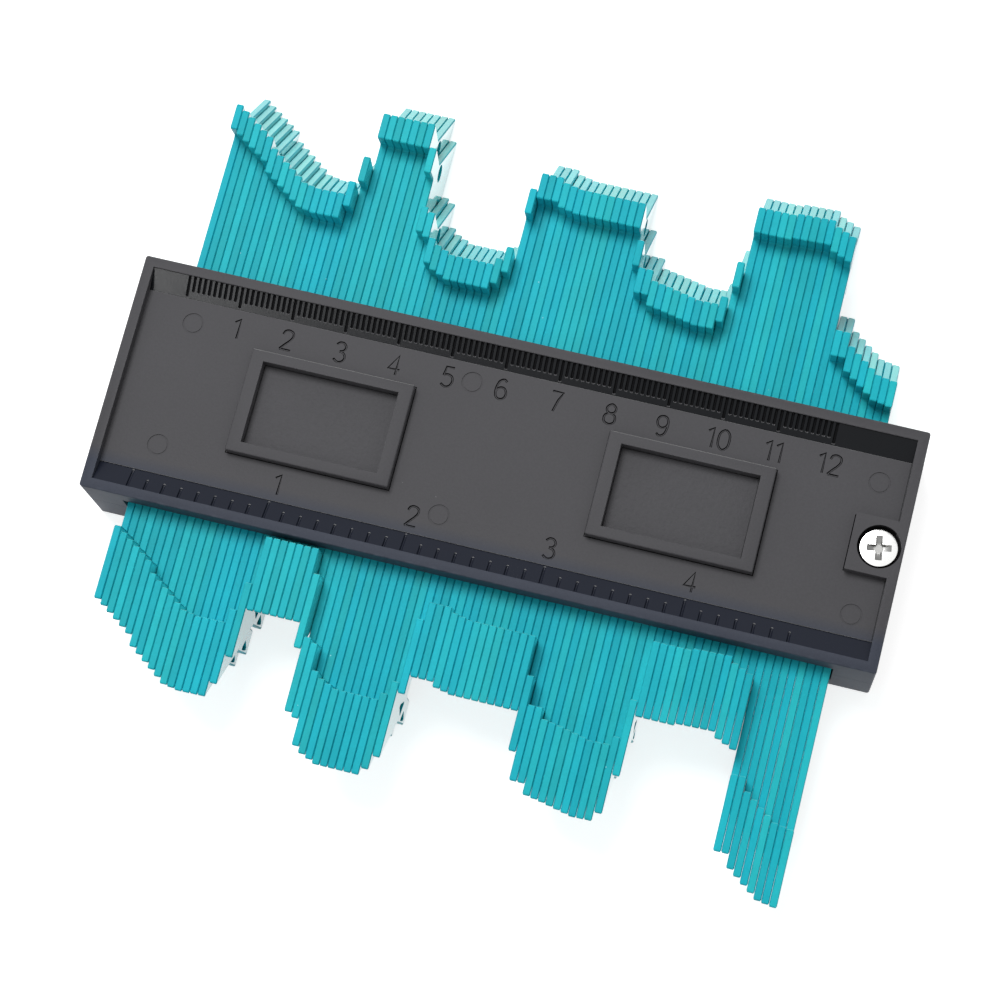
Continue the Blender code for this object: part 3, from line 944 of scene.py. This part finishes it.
def cover_shell(name, corner, rim_edge):
    """The front half of the housing with its recess, frames, boss, channel and holes."""
    body = block(name, 0.0, HALF_LENGTH, HALF_HEIGHT, MIDDLE + SEAM, RIM_LEVEL)
    weights = body.data.attributes.new("bevel_weight_edge", "FLOAT", "EDGE")
    for edge in body.data.edges:
        levels = [body.data.vertices[v].co.z for v in edge.vertices]
        upright = max(levels) - min(levels) > corner
        top = min(levels) > PLATE_LEVEL
        weights.data[edge.index].value = 1.0 if upright else (rim_edge / corner if top else 0.0)
    soften(body, corner, 4, weighted=True)

    half = [
        (INNER_Y + RIM_CHAMFER, ABOVE), (INNER_Y + RIM_CHAMFER, RIM_LEVEL),
        (INNER_Y, RIM_LEVEL - RIM_CHAMFER), (INNER_Y, BAND_TOP), (PLATE_Y, BAND_FOOT),
        (PLATE_Y, PLATE_LEVEL - PLATE_CHAMFER), (PLATE_Y - PLATE_CHAMFER, PLATE_LEVEL),
    ]
    section = [(-y, z) for y, z in half] + half[::-1]
    ends = [[(x, y, z) for y, z in section] for x in (-INNER_X, INNER_X)]
    cut(body, linked("recess", lofted("recess", ends)))
    for centre in FRAME_CENTRES:
        raise_frame(body, centre)

    boss_edge = INNER_X - BOSS_REACH
    cut(body, box(
        "boss", (boss_edge, -BOSS_HALF, PLATE_LEVEL - MARGIN / 4),
        (HALF_LENGTH - RIM_WIDTH / 2, BOSS_HALF, RIM_LEVEL - 2 * HAIR),
    ), "UNION")
    groove_floor = PLATE_LEVEL - CORNER_DEPTH
    for edge, low, high in (
        (boss_edge, -BOSS_HALF, BOSS_HALF), (INNER_X, -PLATE_Y + 2 * GAP, -BOSS_HALF - GAP),
        (INNER_X, BOSS_HALF + GAP, PLATE_Y - 2 * GAP),
    ):
        cut(body, box("groove", (edge - CORNER_GROOVE, low, groove_floor), (edge - HAIR, high, ABOVE)))

    inside = MIDDLE + COVER_INSIDE
    cut(body, block("channel", 0.0, CHANNEL_HALF, HALF_HEIGHT + MARGIN, BELOW, inside))
    cut(body, block(
        "strip_slot", 0.0, CHANNEL_HALF, STRIP_WIDTH / 2, inside - MARGIN, MIDDLE + STRIP_SLOT_TOP
    ))
    seat, pilot_top = MIDDLE + SEAT_LEVEL, MIDDLE + SCREW_LENGTH - SEAT_LEVEL + PILOT_RUNOUT
    cut(body, rod("counterbore", (SCREW_X, 0.0), COUNTERBORE_RADIUS, seat, ABOVE, 64))
    cut(body, rod("screw_hole", (SCREW_X, 0.0), SHANK_RADIUS + HOLE_GAP, BELOW, ABOVE, 32))
    cut(body, rod("pilot", (-SCREW_X, 0.0), SHANK_RADIUS + PILOT_GAP, BELOW, pilot_top, 32))
    for y in (-PEG_OFFSET, PEG_OFFSET):
        cut(body, rod("peg", (SCREW_X, y), PEG_RADIUS, MIDDLE - PEG_LENGTH, MIDDLE + MARGIN, 24), "UNION")
        cut(body, rod("socket", (-SCREW_X, y), PEG_RADIUS + GAP, BELOW, MIDDLE + PEG_LENGTH + GAP, 24))

    over = PLATE_LEVEL + MARGIN / 4
    discs = [
        rod("ejector", place, EJECTOR_RADIUS, PLATE_LEVEL - EJECTOR_DEPTH, over, 48)
        for place in EJECTOR_MARKS
    ]
    cut(body, joined(discs))
    rings = []
    for place in EJECTOR_MARKS:
        ring = rod("ring", place, EJECTOR_RADIUS, PLATE_LEVEL - EJECTOR_RING_DEPTH, over, 48)
        inner = EJECTOR_RADIUS - EJECTOR_RING
        cut(ring, rod("inside", place, inner, PLATE_LEVEL - MARGIN, PLATE_LEVEL + MARGIN, 48))
        rings.append(ring)
    cut(body, joined(rings))
    return body


def cover_finish_number(face, housing):
    """Which of its finishes a face of the cover takes."""
    spot, normal = face.center, face.normal
    away = abs(spot.y)
    if abs(spot.x) > INNER_X or spot.z < PLAIN_LEVEL:
        return PLASTIC
    # Painted highlight: the chamfer at the plate's edge next to a band is pale, where light catches it.
    if abs(away - PLATE_Y) < GAP and 0.5 < abs(normal.y) < 0.9:
        return PAINTED_HIGHLIGHT
    below_rim = spot.z < RIM_LEVEL - 2 * GAP
    if PLATE_Y < away < INNER_Y + MARK_OVERRUN and below_rim:
        deep = BAND_TOP - (INNER_Y - away) * (BAND_TOP - BAND_FOOT) / BAND_WIDTH - spot.z
        if deep < HAIR:
            return BAND
        upper = spot.y > 0
        row, ramp = (TOP_MARK, housing.mark_ramp[0]) if upper else (BOTTOM_MARK, housing.mark_ramp[1])
        ends = [nose - GAP < away < nose + ramp + housing.mark_width / 2 for nose in row[1:]]
        at_end = any(ends) and normal.y * spot.y > 0 and abs(normal.y) > 0.2
        # Painted highlights: the noses of the lower marks are pale and those of the upper marks plain grey,
        # where light catches their end walls; the side chamfers of the upper marks are pale too.
        if not upper:
            return PAINTED_HIGHLIGHT if at_end else BAND
        if at_end:
            return PLASTIC
        return PAINTED_HIGHLIGHT if deep < housing.mark_chamfer and abs(normal.x) > 0.3 else MARK_AND_SHADE
    # Painted highlight: the rounded top edge of a frame that faces up the gauge is pale.
    if 0.5 < normal.y < 0.9 and away < PLATE_Y and spot.z > PLATE_LEVEL + FRAME_RAISE / 2:
        return PAINTED_HIGHLIGHT
    # Painted shade: the counterbore's wall and floor take the near-black finish, standing for the deep shade
    # in it.
    if math.hypot(spot.x - SCREW_X, spot.y) < COUNTERBORE_RADIUS + 4 * HAIR and below_rim:
        return MARK_AND_SHADE
    below = PLATE_LEVEL - spot.z
    # Painted shade: the walls of the number strokes are near-black, their floors plain.
    if GAP < below < DEEPEST and abs(away - TOP_NUMBER_Y) < 0.6 * housing.digit_height:
        return PLASTIC if normal.z > 0.9 else MARK_AND_SHADE
    # Painted shade: the walls of the ejector rings and of the grooves at the feet of the frames and boss, and
    # those grooves' floors, are near-black.
    if RING_WALL[0] < below < RING_WALL[1] and normal.z < 0.99 or abs(below - CORNER_DEPTH) < HAIR:
        return MARK_AND_SHADE
    # Painted shade: below the frame's floor, the groove at its inner foot is near-black.
    if 0.0 < below < DEEPEST and away < FRAME_INNER_Y + HAIR:
        if any(abs(spot.x - centre) < FRAME_INNER_X + HAIR for centre in FRAME_CENTRES):
            return MARK_AND_SHADE if below > FRAME_FLOOR + 2 * HAIR else FLOOR
    return PLASTIC


def cut_graduations(body, housing):
    """Cuts both rows of graduations into the sloped bands."""
    tree = graduation_tree()
    slope = math.atan2(BAND_TOP - BAND_FOOT, BAND_WIDTH)
    rows = ((CENTIMETRES, TOP_MARK, 1.0), (INCHES, BOTTOM_MARK, -1.0))
    for row, ((start, pitch, count, every), (outer, short, long), side) in enumerate(rows):
        values = {
            "Count": count, "Pitch": pitch, "Long Every": every,
            "Turn": (slope, 0.0, 0.0 if side > 0 else math.pi),
        }
        for length, nose in (("Short", short), ("Long", long)):
            mesh = mark_mesh("mark", housing, housing.mark_ramp[row], (outer - nose) / math.cos(slope))
            level = BAND_TOP - (INNER_Y - nose) * math.tan(slope)
            values[length + " Mark"] = linked("mark", mesh)
            values[length + " Place"] = (start, side * nose, level)
        cut(body, run_tree("graduations", tree, values))
        for length in ("Short", "Long"):
            bpy.data.objects.remove(values[length + " Mark"], do_unlink=True)


def number_strokes(text, steps):
    """The strokes of a number, one unit high about its own middle."""
    across = -(sum(DIGITS[digit][0] / 100 for digit in text) + DIGIT_SPACE * (len(text) - 1)) / 2
    for digit in text:
        advance, strokes = DIGITS[digit]
        for curved, points in strokes:
            yield [(across + p.x, p.y - 0.5) for p in stroke_points(curved, points, steps)]
        across += advance / 100 + DIGIT_SPACE


def cut_numbers(body, housing):
    """Engraves the numbers of both scales into the plate."""
    height = housing.digit_height
    level = PLATE_LEVEL - housing.digit_stroke * DIGIT_SINK
    values = {"Radius": housing.digit_stroke / 2, "Sides": STROKE_SIDES}
    tree = stroke_tree()
    tools = []
    for places, middle in ((TOP_NUMBERS, TOP_NUMBER_Y), (BOTTOM_NUMBERS, BOTTOM_NUMBER_Y)):
        for number, centre in enumerate(places, 1):
            for line in number_strokes(str(number), housing.digit_steps):
                mesh = bpy.data.meshes.new("stroke")
                spots = [(centre + x * height, middle + y * height, level) for x, y in line]
                mesh.from_pydata(spots, [(i, i + 1) for i in range(len(line) - 1)], [])
                tools.append(run_tree("stroke", tree, values, mesh))
    cut(body, joined(tools), own=True)


class GAUGE_OT_housing(bpy.types.Operator):
    """Builds the two covers of the housing with their scales"""

    bl_idname = "gauge.housing"
    bl_label = "Housing"

    def execute(self, context):
        housing = context.scene.gauge_housing
        body = cover_shell("gauge_front_cover", housing.corner, housing.rim_edge)
        cut_graduations(body, housing)
        cut_numbers(body, housing)
        # Name, colour, roughness, grain scale, relief, unevenness, specular level, and the painted bluish
        # light and shade of the lower side
        finishes = [housing_finish(*values) for values in (
            ("housing_plastic_finish", housing.colour, 0.52, 2400.0, 0.000024, 0.24, 0.10, (0.70, 0.80, 1.0)),
            ("band_plastic_finish", housing.band_colour, 0.24, 3000.0, 0.000002, 0.06, 0.15, (2.4, 2.5, 3.2)),
            ("floor_plastic_finish", housing.colour, 0.56, 1700.0, 0.000100, 0.32, 0.12, (1.0, 1.0, 1.0)),
            ("mark_plastic_finish", MARK_AND_SHADE_COLOUR, 0.60, 3000.0, 0.000002, 0.06, 0.05, (1.0, 1.0, 1.2)),
            ("rubbed_plastic_finish", PAINTED_HIGHLIGHT_COLOUR, 0.35, 2600.0, 0.000006, 0.30, 0.40, (1.0, 1.0, 1.0)),
        )]
        paint(body.data, finishes, lambda face: cover_finish_number(face, housing))
        keep_both(body, "cover", "housing_plastic")
        return {"FINISHED"}


def screw_body(name, radius, seat, top):
    """A domed head on a threaded shank, turned about the screw's middle."""
    profile = [(0.0, top)]
    for step in range(1, 13):
        share = step / 12
        profile.append((radius * share, top - SCREW_DOME * share ** 2))
    profile += [(radius, seat + GAP), (radius - GAP, seat), (SHANK_RADIUS, seat)]
    for turn in range(THREAD_TURNS):
        low = seat - THREAD_START - turn * THREAD_PITCH
        profile += [(SHANK_RADIUS, low), (SHANK_RADIUS - THREAD_DEPTH, low - THREAD_PITCH / 2)]
    profile += [
        (SHANK_RADIUS, seat - THREAD_START - THREAD_TURNS * THREAD_PITCH),
        (SHANK_RADIUS, seat - SCREW_LENGTH + THREAD_START), (0.0, seat - SCREW_LENGTH),
    ]
    work = bmesh.new()
    verts = [work.verts.new((across, 0.0, level)) for across, level in profile]
    edges = [work.edges.new(pair) for pair in zip(verts, verts[1:])]
    bmesh.ops.spin(
        work, geom=verts + edges, axis=(0, 0, 1), cent=(0, 0, 0), steps=48, angle=math.tau, use_merge=True
    )
    bmesh.ops.remove_doubles(work, verts=work.verts, dist=1e-7)
    bmesh.ops.recalc_face_normals(work, faces=work.faces)
    bmesh.ops.translate(work, vec=(SCREW_X, 0.0, 0.0), verts=work.verts)
    return linked(name, mesh_from(name, work))


class GAUGE_OT_screws(bpy.types.Operator):
    """Builds the two cross-recess screws"""

    bl_idname = "gauge.screws"
    bl_label = "Screws"

    def execute(self, context):
        metal = context.scene.gauge_metal
        seat = MIDDLE + SEAT_LEVEL
        top = seat + SCREW_HEAD_HEIGHT
        body = screw_body("gauge_front_screw", SCREW_HEAD_RADIUS, seat, top)

        # Levels of a recess arm, with the shares of its reach and of its half width there
        levels = ((top + RECESS_RISE, 1.08, 1.1), (top - 2 * GAP, 1.0, 1.0), (top - RECESS_DEPTH, 0.50, 0.60))
        for turn in (0.0, 90.0):
            rings = []
            for level, share, wide in levels:
                x, y = metal.recess * share, RECESS_HALF * wide
                rings.append([(-x, -y, level), (x, -y, level), (x, y, level), (-x, y, level)])
            mesh = lofted("recess_arm", rings)
            mesh.transform(
                Matrix.Translation((SCREW_X, 0.0, 0.0))
                @ Matrix.Rotation(math.radians(turn + RECESS_TURN), 4, "Z")
            )
            cut(body, linked("recess_arm", mesh))
        cut(body, rod(
            "recess_middle", (SCREW_X, 0.0), RECESS_MIDDLE, top - RECESS_DEPTH - GAP, top + RECESS_RISE, 16
        ))

        def in_recess(face):
            out = math.hypot(face.center.x - SCREW_X, face.center.y)
            surface = top - SCREW_DOME * (out / SCREW_HEAD_RADIUS) ** 2
            return int(out < 1.1 * metal.recess and seat < face.center.z < surface - GAP / 2)

        # Painted shade: faces inside the cross recess take the darker metal.
        paint(body.data, (
            nickel_finish("nickel_finish", metal.colour, 0.22),
            nickel_finish("recess_finish", metal.recess_colour, 0.38),
        ), in_recess)
        keep_both(body, "screw", "nickel")
        return {"FINISHED"}


class GAUGE_OT_strips(bpy.types.Operator):
    """Builds the friction strips that bear on the leaves"""

    bl_idname = "gauge.strips"
    bl_label = "Friction strips"

    def execute(self, context):
        finish = plain_finish("rubber_finish", (0.035, 0.035, 0.037), 0.00006, 0.0, {
            "Cloud Scale": 200.0, "Grain Scale": 1800.0, "Unevenness": 0.3, "Roughness": 0.85,
            "Roughness Spread": 0.1,
        })
        for name in ("front_friction_strip", "back_friction_strip"):
            piece = box("gauge_" + name, *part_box(name))
            soften(piece, STRIP_EDGE, 3)
            paint(piece.data, (finish,), lambda face: 0)
            keep(piece, "housing", "foam", name)
        return {"FINISHED"}


def background_rays(tree, other, level):
    """A level on the rays that show the background, of the camera, gloss and glass, and another elsewhere."""
    path = node(tree, "ShaderNodeLightPath").outputs
    seen = maths(tree, "MAXIMUM", path["Is Camera Ray"], path["Is Glossy Ray"])
    seen = maths(tree, "MAXIMUM", seen, path["Is Transmission Ray"])
    return first(tree, "ShaderNodeMapRange", {0: seen, 3: other, 4: level})


class GAUGE_OT_stage(bpy.types.Operator):
    """Builds the floor, the lights, the surroundings and the camera"""

    bl_idname = "gauge.stage"
    bl_label = "Stage"

    def execute(self, context):
        scene = context.scene
        floor = box("stage_floor", (-3.0, -3.0, FLOOR_LEVEL - 0.01), (3.0, 3.0, FLOOR_LEVEL))
        paper, tree, shader = new_material("stage_paper")
        feed(tree, shader, {
            "Base Color": (PAPER, PAPER, PAPER, 1.0), "Roughness": 0.9, "Specular IOR Level": 0.0,
            "Emission Color": WHITE, "Emission Strength": background_rays(tree, 0.0, PAPER),
        })
        floor.data.materials.append(paper)

        world = bpy.data.worlds.new("studio")
        scene.world = world
        world.use_nodes = True
        tree = world.node_tree
        feed(tree, tree.nodes["Background"].inputs, {
            "Color": WHITE, "Strength": background_rays(tree, ROOM, 1.0),
        })

        for name, place, size, power, gloss_only in (
            ("key_light", (-0.235, 0.294, 0.880), 0.50, 5.8, False),
            ("band_glint", (-0.38, -0.53, 0.75), 0.25, 2.3, True),
        ):
            lamp = bpy.data.lights.new(name, "AREA")
            lamp.shape = "DISK"
            lamp.size = size
            lamp.energy = power
            light = linked(name, lamp)
            light.location = place
            light.rotation_euler = Vector(place).to_track_quat("Z", "Y").to_euler()
            light.visible_diffuse = not gloss_only

        camera = bpy.data.cameras.new("photo_camera")
        camera.sensor_width = SENSOR_WIDTH
        camera.lens = FOCAL_LENGTH
        camera.clip_start = 0.01
        camera.clip_end = 20.0
        viewer = linked("photo_camera", camera)
        spin = Vector(CAMERA_TURN)
        to_camera = Matrix.Rotation(spin.length, 3, spin.normalized())
        turned = to_camera.transposed() @ Matrix.Diagonal((1.0, -1.0, -1.0))
        viewer.matrix_world = Matrix.Translation(CAMERA_PLACE) @ turned.to_4x4()
        scene.camera = viewer
        scene.view_settings.view_transform = "Standard"
        return {"FINISHED"}


class GAUGE_PT_panel(bpy.types.Panel):
    """Lists the pieces of the gauge"""

    bl_idname = "GAUGE_PT_panel"
    bl_label = "Contour gauge"
    bl_space_type = "VIEW_3D"
    bl_region_type = "UI"
    bl_category = "Contour gauge"

    def draw(self, context):
        for name in GROUPS:
            group = getattr(context.scene, name)
            for key in group.__annotations__:
                self.layout.prop(group, key)
        for kind in OPERATORS:
            self.layout.operator(kind.bl_idname)


OPERATORS = (GAUGE_OT_housing, GAUGE_OT_screws, GAUGE_OT_strips, GAUGE_OT_leaves, GAUGE_OT_stage)
GROUPS = {
    "gauge_leaf": GaugeLeafSettings,
    "gauge_housing": GaugeHousingSettings,
    "gauge_metal": GaugeMetalSettings,
}


def register():
    for kind in (*GROUPS.values(), *OPERATORS, GAUGE_PT_panel):
        bpy.utils.register_class(kind)
    for name, kind in GROUPS.items():
        setattr(bpy.types.Scene, name, PointerProperty(type=kind))


def unregister():
    for name in GROUPS:
        delattr(bpy.types.Scene, name)
    for kind in reversed((*GROUPS.values(), *OPERATORS, GAUGE_PT_panel)):
        bpy.utils.unregister_class(kind)


def main():
    register()
    bpy.ops.gauge.housing()
    bpy.ops.gauge.screws()
    bpy.ops.gauge.strips()
    bpy.ops.gauge.leaves()
    bpy.ops.gauge.stage()


if __name__ == "__main__":
    main()
